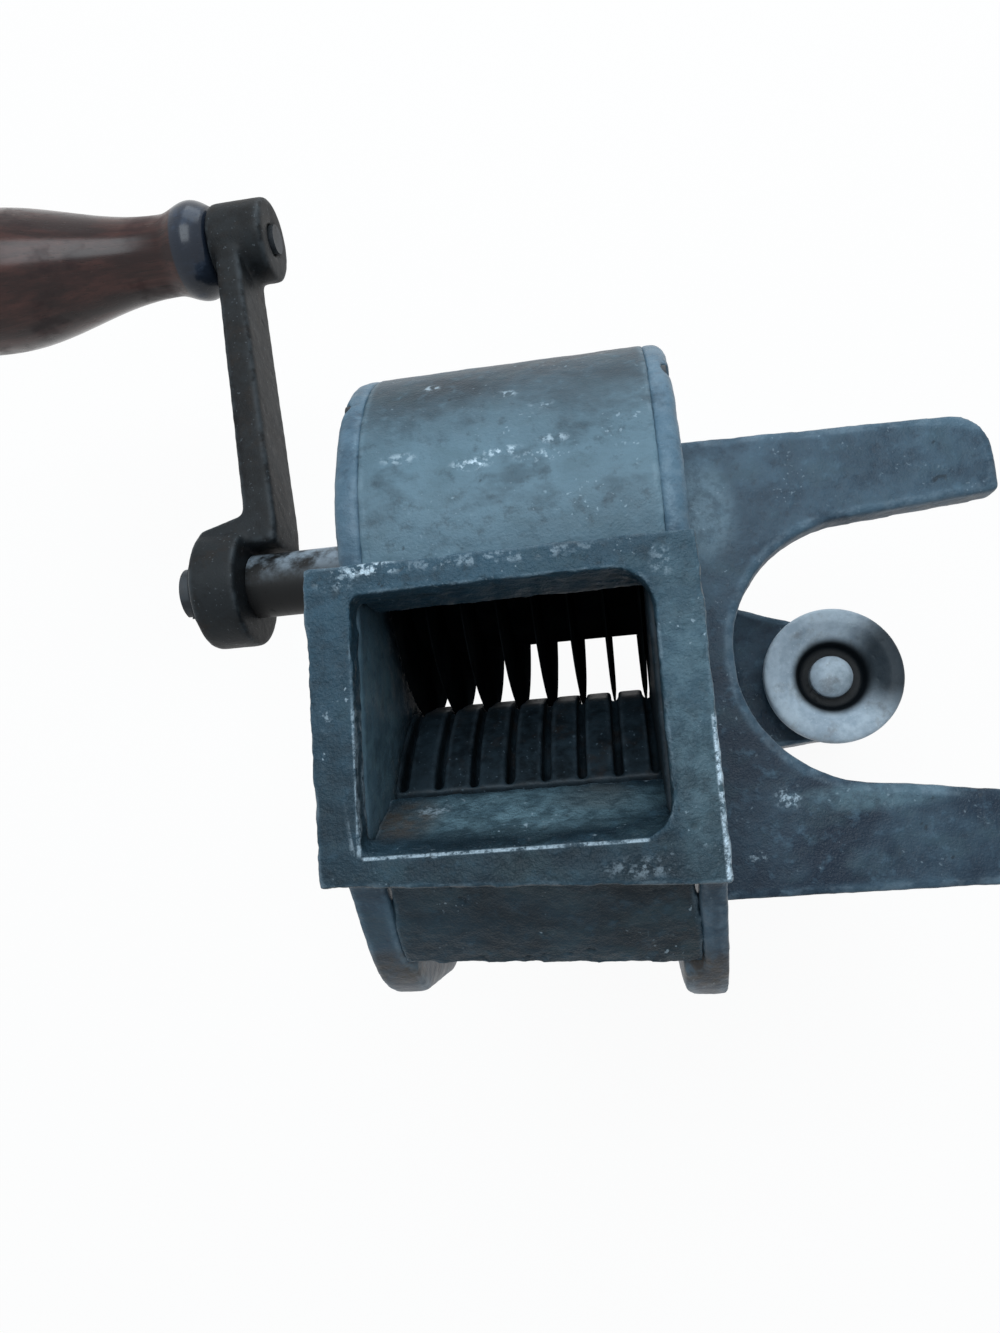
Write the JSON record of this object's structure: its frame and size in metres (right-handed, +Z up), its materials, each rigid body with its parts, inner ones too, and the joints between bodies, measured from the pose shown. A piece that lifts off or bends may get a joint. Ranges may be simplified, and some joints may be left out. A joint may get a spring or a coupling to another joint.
{
  "type": "bean slicer",
  "caption": "Hand-cranked cast-iron bean slicer: open hopper over disc knives that turn in a slotted comb, drum cover, wooden crank grip and a forked table clamp with a screw.",
  "frame": {"origin": "on the clamp screw's axis, level with the underside of the fork's prongs, where the table top's surface is", "axes": "+Z up along the clamp screw, +X along the knife shaft towards the table, +Y back over the drum"},
  "size_m": [0.2817, 0.2055, 0.191],
  "materials": {
    "lacquered_iron": "dark blue-grey lacquered casting, pitted and worn",
    "comb_iron": "bare blue-grey casting, worn",
    "crank_iron": "dark worn casting",
    "clamp_iron": "dull grey-brown iron",
    "knife_steel": "dull tarnished steel",
    "shaft_steel": "worn dark steel",
    "screw_steel": "tarnished steel",
    "grip_wood": "dark varnished turned wood"
  },
  "bodies": {
    "body": {"left_wall": "lacquered_iron", "right_wall": "lacquered_iron", "hopper": "lacquered_iron", "drum_cover": "lacquered_iron", "comb": "comb_iron", "hopper_screws": "screw_steel", "cover_screws": "screw_steel", "comb_screws": "screw_steel"},
    "crank": {"shaft": "shaft_steel", "stack_nut": "screw_steel", "crank_arm": "crank_iron", "crank_washer": "screw_steel", "crank_screw": "screw_steel", "grip_axle": "shaft_steel", "knife_1": "knife_steel", "knife_2": "knife_steel", "knife_3": "knife_steel", "knife_4": "knife_steel", "knife_5": "knife_steel", "knife_6": "knife_steel", "knife_7": "knife_steel", "knife_8": "knife_steel", "spacer_1": "shaft_steel", "spacer_2": "shaft_steel", "spacer_3": "shaft_steel", "spacer_4": "shaft_steel", "spacer_5": "shaft_steel", "spacer_6": "shaft_steel", "spacer_7": "shaft_steel"},
    "grip": {"grip": "grip_wood"},
    "pad": {"clamp_pad": "clamp_iron"},
    "screw": {"clamp_screw": "clamp_iron"}
  },
  "joints": [
    {"name": "crank_turn", "type": "hinge", "parent": "body", "child": "crank", "pos_m": [-0.0752, 0.0268, 0.014], "axis": [1, 0, 0], "continuous": true},
    {"name": "grip_spin", "type": "hinge", "parent": "crank", "child": "grip", "pos_m": [-0.1752, 0.1173, 0.014], "axis": [1, 0, 0], "continuous": true},
    {"name": "pad_travel", "type": "slide", "parent": "body", "child": "pad", "axis": [0, 0, 1], "range_m": [-0.0015, 0.0344]},
    {"name": "screw_turn", "type": "hinge", "parent": "pad", "child": "screw", "pos_m": [0, 0, -0.06], "axis": [0, 0, 1], "range_deg": [-240, 5000]}
  ],
  "couplings": [
    {"joint": "screw_turn", "follows": "pad_travel", "rad_per_m": 2513.3}
  ]
}
